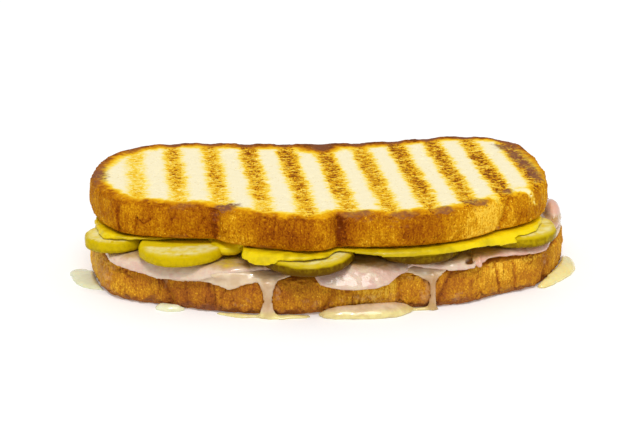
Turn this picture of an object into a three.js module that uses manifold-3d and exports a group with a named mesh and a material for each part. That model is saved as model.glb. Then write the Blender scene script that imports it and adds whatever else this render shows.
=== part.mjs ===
// A grilled ham panini, in millimetres with +Z up.
// Two slices of farmhouse bread lie with their domed crust toward -Y. Between them, from below, are
// melted cheese that runs down the crust, folded ham, pickle chips and a squeeze of mustard.
import * as THREE from "three";
import { mergeVertices } from "three/addons/utils/BufferGeometryUtils.js";
import Module from "manifold-3d";

const wasm = await Module();
wasm.setup();

// Thickness of each layer, and the gap kept between pieces that touch.
const BOTTOM_BREAD_THICK = 13.5;
const CHEESE_THICK = 1.2;
const HAM_THICK = 1.7;
const PICKLE_THICK = 4.2;
const MUSTARD_THICK = 1.0;
const TOP_BREAD_THICK = 12.7;
const GAP = 0.3;

// The bread's edge: how round its rims are, and how far the crust swells between them.
const RIM_ROUND = 2.2;
const CRUST_SWELL = 0.6;

// The grill's ridges, pressed into the upper face. They run along Y, leaning a little.
const GRILL_PITCH = 13.75;
const GRILL_WIDTH = 6.6;
const GRILL_DEPTH = 0.5;
const GRILL_COUNT = 12;
const GRILL_FIRST_X = -79.4;
const GRILL_LEAN = THREE.MathUtils.degToRad(1.5);

// The upper slice is thicker toward its left end.
const THICKER_FROM_X = -45;
const THICKER_BY = 1.4;

// Spacing of the vertices along the crust, on the craggy front and on the smooth back.
const FRONT_STEP = 5;
const BACK_STEP = 8;

// Heights of the layers, from the thicknesses.
const CHEESE_Z = BOTTOM_BREAD_THICK + GAP;
const HAM_Z = CHEESE_Z + CHEESE_THICK + GAP;
const PICKLE_Z = HAM_Z + HAM_THICK + GAP;
const MUSTARD_Z = PICKLE_Z + PICKLE_THICK + GAP;
const TOP_BREAD_Z = MUSTARD_Z + MUSTARD_THICK + GAP;

// Crust outlines as lobes that start and end in a crease: x, y, and how far the lobe bulges outward.
// They run from the left end along the domed front, then back along the loaf's flat underside.
const TOP_LOBES = [
  [-81.5, 2, 1.8],
  [-73.5, -21.5, 0.8],
  [-67, -26.2, 1.3],
  [-41, -32.3, 0.2],
  [-38.5, -36, 1.2],
  [-20, -45.5, 1.6],
  [-4, -48.6, 0.5],
  [0.5, -44.6, 2.7],
  [40, -42.8, 1.2],
  [57, -31.5, 2.6],
  [76, -15, 0.8],
  [79, 8, 0.6],
  [78, 27, 3],
  [69, 43.5, 2.2],
  [48, 47.5, -1.4],
  [10, 42.2, -0.8],
  [-35, 46, 1.3],
  [-60, 45.5, 2.6],
  [-77, 28, 1.4],
];
const BOTTOM_LOBES = [
  [-82, 2, 1],
  [-76.5, -20.5, 1.8],
  [-61.5, -30.6, 0.9],
  [-30, -43.6, 1.6],
  [-0.5, -44.6, 0.8],
  [21, -41.6, 0.9],
  [37, -41.4, 1.8],
  [56, -33, 0.8],
  [72.5, -24.5, 2.6],
  [87.5, 8, 0.8],
  [87, 25, 3],
  [78, 42, 2],
  [50, 46.5, -1.2],
  [10, 43, -0.8],
  [-35, 45.5, 1.3],
  [-62, 44, 2.6],
  [-79, 26, 1.2],
];

// How far each soft layer reaches past the place where the rim starts to bend, by bearing in degrees:
// 0 is the right end, 90 the back, 180 the left end and 270 the front.
const CHEESE_REACH = [
  [0, 1.5], [9, 1], [30, 0], [58, 4], [80, -1], [108, 5], [128, 0], [152, 3], [178, -1],
  [200, 2], [210, 4.5], [215, 6], [220, 4.5], [226, 5.6], [231, 7], [236, 4.6], [240, 3.2], [246, 3.4],
  [250, 1.5], [255, -3], [267, -3], [275, 3], [292, 1.5], [301, 3], [306, 7], [311, 2.5], [318, 0],
  [340, 0], [351, 2],
];
const HAM_REACH = [
  [0, 1], [9, 1.5], [20, 1], [30, 0.5], [52, 1], [66, 6], [80, 2], [100, 7], [118, 3], [134, 6],
  [156, 1], [180, 0.5], [194, 1.5], [200, 5], [210, 7.5], [220, 7], [228, 4], [236, 1],
  [242, -1.5], [257, -1.5], [261.5, 6], [267, 8.5], [278, 9.5], [288, 9], [295, 6.5],
  [300, 1], [304, 2], [310, 4.5], [318, 5], [324, 2.5], [331, 3.2], [340, 5], [346, 3], [353, 0.5],
];
// How steeply the ham hangs, in degrees: the folded tongue at the front stands off from the crust.
const HAM_STEEPNESS = [[0, 70], [90, 76], [180, 76], [255, 76], [268, 50], [290, 50], [302, 76]];
const CHEESE_STEEPNESS = [[0, 84], [180, 84]];
// How far the mustard stands out from under the upper slice, in millimetres by bearing, and how far its
// squeezed-out edge has sunk.
const MUSTARD_REACH = [
  [0, -6], [40, -5], [70, -1], [95, 1.5], [120, -2], [150, 1], [176, -2], [188, 1.5], [197, 4.5],
  [203, -2], [208, -7], [227, -7], [232, 0], [237, 5], [244, 5.5], [252, 3.6], [262, 2.2], [272, -1],
  [280, 1], [288, 2.6], [304, 2.8], [318, 2.4], [326, 3.5], [333, 6], [338, 4.5], [343, 1.5], [349, -1],
];
const MUSTARD_DROOP = [
  [0, 0], [188, 0], [197, 1.2], [204, 0], [230, 0], [237, 2.8], [243, 2.6], [252, 0.6], [262, 0],
  [282, 0.4], [290, 1], [304, 1], [318, 1], [330, 2.6], [337, 1.6], [343, 0],
];
const MUSTARD_SWELL = 0.9;

// Walls between the ham sheets: where each one crosses the middle of the sandwich.
const HAM_CUTS = [-26, 26.5, 49.5];
const HAM_CUT_LEAN = THREE.MathUtils.degToRad(4);

// The bunched end of the ham, past the right end of the upper slice.
const RUFFLE = { x: 83.2, y: 7, z: 16.8, radiusX: 3, radiusY: 9, radiusZ: 5 };

// Pickle chips, the front row first: centre x and y, radius, and how oval each one is.
const PICKLE_CHIPS = [
  [-73.6, -16.3, 10.3, 0.02],
  [-50.5, -28, 14.6, 0.03],
  [-10, -37, 17, 0.04],
  [28, -30, 16.5, 0.03],
  [63.2, -18.5, 15.4, 0.04],
  [-34, 3, 15.2, 0.03],
  [4, -2, 15, 0.02],
  [40, 2.5, 13.8, 0.03],
  [-56, 33, 15.6, 0.04],
  [-19, 33, 17, 0.03],
  [21, 31, 16, 0.04],
  [58, 30, 16.3, 0.03],
];
const PICKLE_SAG = 0.01;

// Cheese that ran down the crust: where it is, where it starts, and its width.
const DRIPS = [
  { x: -23, top: 13.2, width: 5.2 },
  { x: 32.5, top: 13, width: 3 },
];
const DRIP_FLATNESS = 0.6;

// Cheese that spread on the board: centre x and y, half length, half depth, height, and turn.
const JOINED_POOLS = [
  [-31.5, -42, 9.5, 3.4, 1.3, -15],
  [-16.5, -45, 8.5, 3.4, 1.2, -3],
  [9.5, -43, 16.5, 8, 4, 1],
  [28.5, -41.5, 7, 2.6, 1.2, -6],
];
const LEFT_POOL = [-82.5, -4, 13, 6.2, 1.6, -59];
const SMALL_POOL = [-55.5, -34.8, 5.6, 2.8, 2.2, -16];
const RIGHT_POOL = [80.6, -10, 17.5, 6.8, 3.6, 62];

const MATERIALS = {
  bread: new THREE.MeshStandardMaterial({ color: 0xc6892c, roughness: 0.85, metalness: 0 }),
  cheese: new THREE.MeshStandardMaterial({ color: 0xe8d18d, roughness: 0.3, metalness: 0 }),
  ham: new THREE.MeshStandardMaterial({ color: 0xe0c0ac, roughness: 0.35, metalness: 0 }),
  pickle: new THREE.MeshStandardMaterial({ color: 0xa3931f, roughness: 0.3, metalness: 0 }),
  mustard: new THREE.MeshStandardMaterial({ color: 0xe6bb14, roughness: 0.3, metalness: 0 }),
};

// A solid made from a sphere's grid: pointAt(ray, row) places each vertex, rows counted from the top.
// The first and last row are the poles, each a single point.
function gridSolid(rayCount, rowCount, pointAt) {
  const geometry = new THREE.SphereGeometry(1, rayCount, rowCount - 1);
  const position = geometry.getAttribute("position");
  for (let row = 0; row < rowCount; row += 1) {
    for (let ray = 0; ray <= rayCount; ray += 1) {
      const isPole = row === 0 || row === rowCount - 1;
      const point = pointAt(isPole ? 0 : ray % rayCount, row);
      position.setXYZ(row * (rayCount + 1) + ray, point.x, point.y, point.z);
    }
  }
  geometry.deleteAttribute("normal");
  geometry.deleteAttribute("uv");
  return mergeVertices(geometry, 1e-4);
}

function toSolid(geometry) {
  return new wasm.Manifold(
    new wasm.Mesh({
      numProp: 3,
      vertProperties: new Float32Array(geometry.getAttribute("position").array),
      triVerts: new Uint32Array(geometry.index.array),
    }),
  );
}

function toGeometry(solid) {
  const mesh = solid.getMesh();
  const geometry = new THREE.BufferGeometry();
  geometry.setAttribute("position", new THREE.BufferAttribute(mesh.vertProperties, 3));
  geometry.setIndex(new THREE.BufferAttribute(mesh.triVerts, 1));
  geometry.computeVertexNormals();
  return geometry;
}

// The crust outline as points round the slice, with a vertex in each crease.
function outlinePoints(lobes) {
  const points = [];
  lobes.forEach(([x, y, bulge], index) => {
    const [nextX, nextY] = lobes[(index + 1) % lobes.length];
    const from = new THREE.Vector2(x, y);
    const to = new THREE.Vector2(nextX, nextY);
    const along = to.clone().sub(from);
    const outward = new THREE.Vector2(along.y, -along.x).normalize();
    const control = from.clone().add(to).multiplyScalar(0.5).addScaledVector(outward, 2 * bulge);
    const curve = new THREE.QuadraticBezierCurve(from, control, to);
    const step = y < 0 ? FRONT_STEP : BACK_STEP;
    const count = Math.max(1, Math.round(curve.getLength() / step));
    points.push(...curve.getPoints(count).slice(0, -1));
  });
  return points;
}

const TOP_OUTLINE = outlinePoints(TOP_LOBES);
const BOTTOM_OUTLINE = outlinePoints(BOTTOM_LOBES);

// The point at a given inset from the rim toward the slice's middle, at height z.
function insetPoint(rim, inset, z) {
  const share = 1 - inset / rim.length();
  return new THREE.Vector3(rim.x * share, rim.y * share, z);
}

// Bearing of a point round the slice, 0 to 360 degrees.
function bearingOf(point) {
  return THREE.MathUtils.euclideanModulo(THREE.MathUtils.radToDeg(Math.atan2(point.y, point.x)), 360);
}

// Value at a bearing from a list of [bearing, value], eased between its stations.
function atBearing(stations, bearing) {
  let before = stations.length - 1;
  stations.forEach(([start], index) => {
    if (start <= bearing) before = index;
  });
  const [fromBearing, fromValue] = stations[before];
  const [toBearing, toValue] = stations[(before + 1) % stations.length];
  const span = THREE.MathUtils.euclideanModulo(toBearing - fromBearing, 360) || 360;
  const share = THREE.MathUtils.euclideanModulo(bearing - fromBearing, 360) / span;
  return THREE.MathUtils.lerp(fromValue, toValue, THREE.MathUtils.smoothstep(share, 0, 1));
}

// Distance of a point beyond the outline, negative inside it.
function beyondRim(outline, point) {
  const angle = Math.atan2(point.y, point.x);
  const index = outline.findIndex((start, i) => {
    const end = outline[(i + 1) % outline.length];
    const turn = THREE.MathUtils.euclideanModulo(end.angle() - start.angle(), 2 * Math.PI);
    return THREE.MathUtils.euclideanModulo(angle - start.angle(), 2 * Math.PI) < turn;
  });
  const start = outline[index];
  const end = outline[(index + 1) % outline.length];
  const direction = new THREE.Vector2(Math.cos(angle), Math.sin(angle));
  const edge = end.clone().sub(start);
  return Math.hypot(point.x, point.y) - start.cross(edge) / direction.cross(edge);
}

// A slice of bread: flat faces, round rims and a swelling crust. grow moves every face outward.
function sliceGeometry(outline, bottomZ, thick, grow = 0) {
  const top = bottomZ + thick + grow;
  const bottom = bottomZ - grow;
  const half = RIM_ROUND * (1 - Math.SQRT1_2);
  const rows = [
    [RIM_ROUND, top],
    [half, top - half],
    [0, top - RIM_ROUND],
    [-CRUST_SWELL, (top + bottom) / 2],
    [0, bottom + RIM_ROUND],
    [half, bottom + half],
    [RIM_ROUND, bottom],
  ];
  return gridSolid(outline.length, rows.length + 2, (ray, row) => {
    if (row === 0) return new THREE.Vector3(0, 0, top);
    if (row > rows.length) return new THREE.Vector3(0, 0, bottom);
    const [inset, z] = rows[row - 1];
    return insetPoint(outline[ray], inset - grow, z);
  });
}

// How much thicker the upper slice is at x than in its middle.
function extraThickness(x) {
  const share = (THICKER_FROM_X - x) / (THICKER_FROM_X - TOP_LOBES[0][0]);
  return THICKER_BY * THREE.MathUtils.clamp(share, 0, 1) ** 2;
}

// One ridge of the grill: a long bar with a round underside, sunk into the upper face.
function grillRidge(index) {
  const radius = (GRILL_WIDTH ** 2 / 4 + GRILL_DEPTH ** 2) / (2 * GRILL_DEPTH);
  const reach = Math.asin(GRILL_WIDTH / 2 / radius);
  const section = new THREE.Shape();
  section.absarc(0, radius - GRILL_DEPTH, radius, -Math.PI / 2 - reach, -Math.PI / 2 + reach);
  section.lineTo(GRILL_WIDTH / 2, 4);
  section.lineTo(-GRILL_WIDTH / 2, 4);
  const bar = new THREE.ExtrudeGeometry(section, { depth: 120, bevelEnabled: false, curveSegments: 4 });
  bar.translate(0, 0, -60);
  bar.rotateX(Math.PI / 2);
  bar.rotateZ(GRILL_LEAN);
  bar.translate(GRILL_FIRST_X + index * GRILL_PITCH, 0, TOP_BREAD_Z + TOP_BREAD_THICK);
  bar.deleteAttribute("normal");
  bar.deleteAttribute("uv");
  return toSolid(mergeVertices(bar, 1e-4));
}

function topBread() {
  let slice = toSolid(sliceGeometry(TOP_OUTLINE, TOP_BREAD_Z, TOP_BREAD_THICK));
  for (let index = 0; index < GRILL_COUNT; index += 1) {
    slice = slice.subtract(grillRidge(index));
  }
  const geometry = toGeometry(slice);
  const position = geometry.getAttribute("position");
  for (let i = 0; i < position.count; i += 1) {
    const height = (position.getZ(i) - TOP_BREAD_Z) / TOP_BREAD_THICK;
    position.setZ(i, position.getZ(i) + height * extraThickness(position.getX(i)));
  }
  geometry.computeVertexNormals();
  return geometry;
}

// A soft sheet that lies on the lower slice and bends down over its rim, all its faces concentric with
// the rim. reach is how far it goes past the start of the bend, and steepness where the bend ends.
function drapedSheet(bottomZ, thick, reachStations, steepStations) {
  const flatStart = -4;
  const centreZ = BOTTOM_BREAD_THICK - RIM_ROUND;
  const inner = bottomZ - centreZ;
  const outer = inner + thick;
  const middle = (inner + outer) / 2;
  const shares = [0, 0.33, 0.5, 0.66, 0.83, 1];
  const rowCount = 2 * shares.length + 3;
  const pathPoint = (rim, path, radius, steep) => {
    const angle = THREE.MathUtils.clamp(path / middle, 0, steep);
    const straight = Math.max(0, path - middle * steep);
    const flat = Math.min(0, path);
    const out = flat + radius * Math.sin(angle) + straight * Math.cos(steep);
    const z = centreZ + radius * Math.cos(angle) - straight * Math.sin(steep);
    return insetPoint(rim, RIM_ROUND - out, z);
  };
  return gridSolid(BOTTOM_OUTLINE.length, rowCount, (ray, row) => {
    if (row === 0) return new THREE.Vector3(0, 0, bottomZ + thick);
    if (row === rowCount - 1) return new THREE.Vector3(0, 0, bottomZ);
    const rim = BOTTOM_OUTLINE[ray];
    const bearing = bearingOf(rim);
    const reach = atBearing(reachStations, bearing);
    const steep = THREE.MathUtils.degToRad(atBearing(steepStations, bearing));
    if (row === shares.length + 1) return pathPoint(rim, reach + thick * 0.35, middle, steep);
    const onTop = row <= shares.length;
    const share = onTop ? shares[row - 1] : shares[rowCount - 2 - row];
    const path = THREE.MathUtils.lerp(flatStart, reach, share);
    return pathPoint(rim, path, onTop ? outer : inner, steep);
  });
}

// A puddle with a low round edge on the board, and its underside flat on z = 0.
function pool([x, y, halfLength, halfDepth, height, turn]) {
  const rows = [[0, 1], [0.55, 0.92], [0.85, 0.62], [1, 0.2], [0.97, 0], [0, 0]];
  const geometry = gridSolid(20, rows.length, (ray, row) => {
    const angle = 2 * Math.PI * ray / 20;
    const wobble = 1 + 0.06 * Math.sin(3 * angle + x) + 0.04 * Math.sin(5 * angle + y);
    const [share, rise] = rows[row];
    return new THREE.Vector3(
      halfLength * share * wobble * Math.cos(angle),
      halfDepth * share * wobble * Math.sin(angle),
      height * rise,
    );
  });
  geometry.rotateZ(THREE.MathUtils.degToRad(turn));
  geometry.translate(x, y, 0);
  return toSolid(geometry);
}

// A run of cheese down the front crust: narrow in the middle, wider where it leaves and where it lands.
function drip({ x, top, width }) {
  const profile = [[0, 0], [0.62, 0], [0.55, 0.12], [0.38, 0.4], [0.42, 0.7], [0.62, 0.94], [0.4, 1], [0, 1]];
  const points = profile.map(([share, rise]) => new THREE.Vector2(share * width, rise * top));
  const geometry = new THREE.LatheGeometry(points, 12);
  geometry.rotateX(Math.PI / 2);
  geometry.deleteAttribute("normal");
  geometry.deleteAttribute("uv");
  geometry.scale(1, DRIP_FLATNESS, 1);
  const crust = BOTTOM_OUTLINE.reduce((best, point) =>
    point.y < 0 && Math.abs(point.x - x) < Math.abs(best.x - x) ? point : best,
  );
  geometry.translate(x, crust.y - CRUST_SWELL - GAP, 0);
  return toSolid(mergeVertices(geometry, 1e-4));
}

// The lower slice with all its faces moved outward, to cut the cheese clear of it.
function grownBread(grow) {
  return toSolid(sliceGeometry(BOTTOM_OUTLINE, 0, BOTTOM_BREAD_THICK, grow));
}

function meltedCheese() {
  const sheet = toSolid(drapedSheet(CHEESE_Z, CHEESE_THICK, CHEESE_REACH, CHEESE_STEEPNESS));
  const runs = [...DRIPS.map(drip), ...JOINED_POOLS.map(pool)];
  const joined = runs.reduce((all, run) => all.add(run));
  return toGeometry(sheet.subtract(grownBread(GAP / 3)).add(joined.subtract(grownBread(GAP))));
}

function lonePool(place) {
  return toGeometry(pool(place).subtract(grownBread(GAP)));
}

// The ham lies as four sheets side by side, cut from one draped sheet by leaning walls.
function hamSheet(index) {
  const fromX = index === 0 ? -120 : HAM_CUTS[index - 1] + GAP / 2;
  const toX = index === HAM_CUTS.length ? 120 : HAM_CUTS[index] - GAP / 2;
  const lean = 90 * Math.tan(HAM_CUT_LEAN);
  const plan = new THREE.Shape();
  plan.moveTo(fromX - lean, -90);
  plan.lineTo(toX - lean, -90);
  plan.lineTo(toX + lean, 90);
  plan.lineTo(fromX + lean, 90);
  plan.closePath();
  const block = new THREE.ExtrudeGeometry(plan, { depth: 60, bevelEnabled: false });
  block.deleteAttribute("normal");
  block.deleteAttribute("uv");
  return toSolid(mergeVertices(block, 1e-4)).intersect(HAM_BLANKET);
}

// The ham's end is bunched up past the right end of the upper slice.
function hamRuffle() {
  const geometry = new THREE.SphereGeometry(1, 14, 8);
  geometry.deleteAttribute("normal");
  geometry.deleteAttribute("uv");
  geometry.scale(RUFFLE.radiusX, RUFFLE.radiusY, RUFFLE.radiusZ);
  geometry.rotateZ(THREE.MathUtils.degToRad(-6));
  geometry.translate(RUFFLE.x, RUFFLE.y, RUFFLE.z);
  const floor = new THREE.BoxGeometry(40, 40, 40);
  floor.deleteAttribute("normal");
  floor.deleteAttribute("uv");
  floor.translate(RUFFLE.x, RUFFLE.y, HAM_Z + HAM_THICK / 2 - 20);
  return toSolid(mergeVertices(geometry, 1e-4)).subtract(toSolid(mergeVertices(floor, 1e-4)));
}

// A pickle chip, a little oval, that sags where it stands out past the lower slice.
// grow moves its rim and faces outward.
function pickleChip([x, y, radius, oval], grow = 0) {
  const rays = 22;
  const rows = [[0, 1], [0.94, 1], [1, 0.76], [1, 0.24], [0.94, 0], [0, 0]];
  return gridSolid(rays, rows.length, (ray, row) => {
    const angle = 2 * Math.PI * ray / rays;
    const [share, rise] = rows[row];
    const out = (radius + grow) * share * (1 + oval * Math.cos(2 * angle + x));
    const point = new THREE.Vector3(x + out * Math.cos(angle), y + out * Math.sin(angle), 0);
    const overhang = Math.max(0, beyondRim(BOTTOM_OUTLINE, point));
    point.z = PICKLE_Z - grow + (PICKLE_THICK + 2 * grow) * rise - PICKLE_SAG * overhang ** 2;
    return point;
  });
}

// Mustard under the upper slice, squeezed out past its rim in places and sagging there. It is cut clear of
// the chips that it runs over.
function mustardLayer() {
  const rows = [
    { flat: 14, share: 0, rise: 1, swell: 0, droop: 0 },
    { flat: 1.5, share: 0, rise: 1, swell: 0, droop: 0 },
    { flat: 0, share: 0.3, rise: 1, swell: 0.7, droop: 0.05 },
    { flat: 0, share: 0.62, rise: 1, swell: 1, droop: 0.35 },
    { flat: 0, share: 0.92, rise: 0.9, swell: 0.4, droop: 0.85 },
    { flat: 0, share: 1.05, rise: 0.5, swell: 0, droop: 1 },
    { flat: 0, share: 0.9, rise: 0.1, swell: 0, droop: 0.9 },
    { flat: 0, share: 0.5, rise: 0, swell: 0, droop: 0.25 },
    { flat: 2.5, share: 0, rise: 0, swell: 0, droop: 0 },
  ];
  const layer = gridSolid(TOP_OUTLINE.length, rows.length + 2, (ray, row) => {
    if (row === 0) return new THREE.Vector3(0, 0, MUSTARD_Z + MUSTARD_THICK);
    if (row > rows.length) return new THREE.Vector3(0, 0, MUSTARD_Z);
    const { flat, share, rise, swell, droop } = rows[row - 1];
    const bearing = bearingOf(TOP_OUTLINE[ray]);
    const reach = atBearing(MUSTARD_REACH, bearing);
    const out = Math.min(reach, 0) + Math.max(reach, 0) * share;
    const point = insetPoint(TOP_OUTLINE[ray], flat - out, MUSTARD_Z);
    const overhang = Math.max(0, beyondRim(BOTTOM_OUTLINE, point));
    const squeezed = swell * MUSTARD_SWELL * THREE.MathUtils.clamp((reach - 1) / 2, 0, 1);
    const sunk = droop * atBearing(MUSTARD_DROOP, bearing) + PICKLE_SAG * overhang ** 2;
    point.z += MUSTARD_THICK * rise + squeezed - sunk;
    return point;
  });
  const chips = PICKLE_CHIPS.map((chip) => toSolid(pickleChip(chip, GAP)));
  return toGeometry(chips.reduce((left, chip) => left.subtract(chip), toSolid(layer)));
}

const HAM_BLANKET = toSolid(drapedSheet(HAM_Z, HAM_THICK, HAM_REACH, HAM_STEEPNESS));
const sandwich = new THREE.Group();

function addPiece(name, geometry, material) {
  const mesh = new THREE.Mesh(geometry, material);
  mesh.name = name;
  sandwich.add(mesh);
}

addPiece("bread_bottom", sliceGeometry(BOTTOM_OUTLINE, 0, BOTTOM_BREAD_THICK), MATERIALS.bread);
addPiece("cheese_melt", meltedCheese(), MATERIALS.cheese);
addPiece("cheese_pool_left", lonePool(LEFT_POOL), MATERIALS.cheese);
addPiece("cheese_pool_front", lonePool(SMALL_POOL), MATERIALS.cheese);
addPiece("cheese_pool_right", lonePool(RIGHT_POOL), MATERIALS.cheese);
["ham_left", "ham_centre", "ham_right"].forEach((name, index) => {
  addPiece(name, toGeometry(hamSheet(index)), MATERIALS.ham);
});
addPiece("ham_right_end", toGeometry(hamSheet(HAM_CUTS.length).add(hamRuffle())), MATERIALS.ham);
PICKLE_CHIPS.forEach((chip, index) => {
  addPiece(`pickle_${index + 1}`, pickleChip(chip), MATERIALS.pickle);
});
addPiece("mustard", mustardLayer(), MATERIALS.mustard);
addPiece("bread_top", topBread(), MATERIALS.bread);

// The part's origin is under the middle of its bounding box.
const bounds = new THREE.Box3().setFromObject(sandwich);
const middle = bounds.getCenter(new THREE.Vector3());
sandwich.position.set(-middle.x, -middle.y, -bounds.min.z);

const panini = new THREE.Group();
panini.add(sandwich);

export default panini;
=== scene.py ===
"""The looks of a grilled ham panini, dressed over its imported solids.

Every piece of the filling and both slices of bread replace their solid with a finer skin of the same
form, whose crust, crumb and wet surfaces are made here. Lengths are in metres in Blender, and in
millimetres wherever a name or a docstring says so.
"""

import logging
import math
from dataclasses import dataclass
from enum import Enum

import bmesh
import bpy
import numpy as np
from mathutils import Matrix, Vector, kdtree, noise


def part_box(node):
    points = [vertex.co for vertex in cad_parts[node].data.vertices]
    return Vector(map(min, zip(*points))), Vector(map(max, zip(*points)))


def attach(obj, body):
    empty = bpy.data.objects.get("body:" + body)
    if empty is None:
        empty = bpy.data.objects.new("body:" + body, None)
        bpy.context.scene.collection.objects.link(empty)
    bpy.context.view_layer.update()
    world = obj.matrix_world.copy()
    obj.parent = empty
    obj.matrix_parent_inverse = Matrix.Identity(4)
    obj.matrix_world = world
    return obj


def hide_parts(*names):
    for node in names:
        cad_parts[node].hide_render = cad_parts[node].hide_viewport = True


LOG = logging.getLogger("panini")
MM = 0.001
BODY = "root"

Triple = tuple[float, float, float]
Colour = Triple
Stop = tuple[float, Colour]  # a place on a colour ramp and its colour
Station = tuple[float, float]  # a place along a piece and the value there
Socket = bpy.types.NodeSocket
Setting = tuple[str, str]  # a property of a node and what it is set to

EVEN: Triple = (1.0, 1.0, 1.0)
MERGE = 0.001  # points of a node that lie closer than this, in millimetres, become one
LUMP_ROUND = 48  # faces round a fused lump
LUMP_RISE = 24  # faces from its foot to its head
GRAIN_STEP = 17.31  # how far apart the seeds of each kind of noise lie
ROUGH_STEP = 11.7
CELL_STEP = 7.77
SHADER_STEP: Triple = (13.7, 5.1, 3.3)
FINER_FADE = 0.9  # how fast the finer noises of a fractal fade
FINER_RATIO = 2.1  # how much finer each of them is
FRAY = 3.0  # size of the lumps that fray a mark's edge, in millimetres
MARK_END = 1.3  # where a mark ends, as a share of its half size
MARK_CORE = 0.4  # inside this share it is whole
FRONT_FADE = 8.0  # marks on the front fade out this far behind the slices' middle
HAM_CUTS = (-26.0, 26.5, 49.5)  # where one sheet of ham ends and the next one starts, along x

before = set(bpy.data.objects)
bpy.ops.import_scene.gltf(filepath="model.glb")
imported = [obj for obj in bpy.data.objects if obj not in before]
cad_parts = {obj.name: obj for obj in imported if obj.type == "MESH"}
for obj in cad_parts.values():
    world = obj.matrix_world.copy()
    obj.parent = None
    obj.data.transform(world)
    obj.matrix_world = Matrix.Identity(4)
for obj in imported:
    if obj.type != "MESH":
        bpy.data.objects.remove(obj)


# Mesh work


@dataclass(frozen=True)
class Lump:
    """A rounded lump that is fused with a piece: its middle, from the slices' middle, and half sizes."""

    middle: Triple
    half: Triple


class Skin:
    """A finer copy of one CAD node, whose points are moved and painted as arrays in millimetres."""

    def __init__(
        self, node: str, voxel: float, relax: int, origin: np.ndarray, lumps: tuple[Lump, ...] = ()
    ) -> None:
        """Copies a node's mesh, merges it and remeshes it.

        Args:
            node: name of the CAD node.
            voxel: size of the new faces, in millimetres.
            relax: how many times the new surface is smoothed.
            origin: the slices' middle, which the skin's places are counted from.
            lumps: lumps that are fused with it.
        """
        self.node = node
        self.origin = origin
        mesh = bpy.data.meshes.new(f"{node}_skin")
        work = bmesh.new()
        work.from_mesh(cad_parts[node].data)
        bmesh.ops.remove_doubles(work, verts=work.verts, dist=MERGE * MM)
        for lump in lumps:
            middle = Vector(origin + lump.middle) * MM
            spot = Matrix.Translation(middle) @ Matrix.Diagonal((*lump.half, 1.0))
            bmesh.ops.create_uvsphere(
                work, u_segments=LUMP_ROUND, v_segments=LUMP_RISE, radius=MM, matrix=spot
            )
        work.to_mesh(mesh)
        work.free()
        self.object = bpy.data.objects.new(f"{node}_skin", mesh)
        bpy.context.collection.objects.link(self.object)
        remesh = self.object.modifiers.new("finer", "REMESH")
        remesh.mode = "VOXEL"
        remesh.voxel_size = voxel * MM
        smooth = self.object.modifiers.new("relaxed", "SMOOTH")
        smooth.factor = 0.5
        smooth.iterations = relax
        self._settle()

    def _settle(self) -> None:
        """Replaces the mesh by what its modifiers make of it, and removes them."""
        graph = bpy.context.evaluated_depsgraph_get()
        before = self.object.data
        made = bpy.data.meshes.new_from_object(self.object.evaluated_get(graph))
        self.object.modifiers.clear()
        self.object.data = made
        bpy.data.meshes.remove(before)
        made.name = f"{self.node}_skin"
        made.materials.clear()
        self.read()

    def read(self) -> None:
        """Reads the mesh into arrays: points and places in millimetres, and normals."""
        mesh = self.object.data
        count = len(mesh.vertices)
        points = np.empty(count * 3, dtype=np.float32)
        mesh.vertices.foreach_get("co", points)
        self.points = points.reshape(-1, 3).astype(float) / MM
        self.place = self.points - self.origin
        normals = np.empty(count * 3, dtype=np.float32)
        mesh.vertex_normals.foreach_get("vector", normals)
        self.normals = normals.reshape(-1, 3).astype(float)

    def thin(self, hidden: np.ndarray, ratio: float) -> None:
        """Gives the faces that the filling hides fewer points.

        Args:
            hidden: which points may go.
            ratio: the share of all faces that stays.
        """
        group = self.object.vertex_groups.new(name="hidden")
        group.add(np.flatnonzero(hidden).tolist(), 1.0, "REPLACE")
        thinner = self.object.modifiers.new("thinner", "DECIMATE")
        thinner.ratio = ratio
        thinner.vertex_group = "hidden"
        self._settle()
        self.object.vertex_groups.clear()

    def refine(self, shown: np.ndarray, cuts: int, longest: float) -> None:
        """Splits the edges between the chosen points.

        Args:
            shown: which points are in the finer part.
            cuts: how many points go into each edge.
            longest: edges shorter than this, in millimetres, stay.
        """
        work = bmesh.new()
        work.from_mesh(self.object.data)
        edges = [
            edge for edge in work.edges
            if all(shown[point.index] for point in edge.verts) and edge.calc_length() > longest * MM
        ]
        bmesh.ops.subdivide_edges(work, edges=edges, cuts=cuts, use_grid_fill=True)
        work.to_mesh(self.object.data)
        work.free()
        self.read()

    def push(self, distance: np.ndarray) -> None:
        """Moves each point outward along its normal by its own distance in millimetres."""
        self.shift(self.normals * distance[:, None])

    def shift(self, offsets: np.ndarray) -> None:
        """Moves each point by its own offset, but never below the floor.

        Args:
            offsets: one row of x, y and z for each point, in millimetres.
        """
        self.points = self.points + offsets
        self.points[:, 2] = np.maximum(self.points[:, 2], 0.0)
        mesh = self.object.data
        mesh.vertices.foreach_set("co", (self.points * MM).astype(np.float32).ravel())
        mesh.update()
        self.read()

    def paint(self, name: str, values: np.ndarray) -> None:
        """Stores one number for each point as a named attribute that a material can read.

        Args:
            name: name of the attribute.
            values: a number for each point.
        """
        mesh = self.object.data
        layer = mesh.attributes.new(name, "FLOAT", "POINT")
        layer.data.foreach_set("value", np.clip(values, -1.0, 2.0).astype(np.float32))

    def finish(self, name: str, slot: str, material: bpy.types.Material) -> None:
        """Shades the piece smooth, gives it its material and stands it in for its node.

        Args:
            name: the piece's own name.
            slot: the record's material slot; not used.
            material: what the piece is made of.
        """
        mesh = self.object.data
        mesh.polygons.foreach_set("use_smooth", [True] * len(mesh.polygons))
        mesh.materials.append(material)
        mesh.name = name
        self.object.name = name
        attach(self.object, BODY)
        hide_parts(self.node)
        triangles = sum(len(polygon.vertices) - 2 for polygon in mesh.polygons)
        LOG.info("%s: %d triangles", name, triangles)


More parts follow.
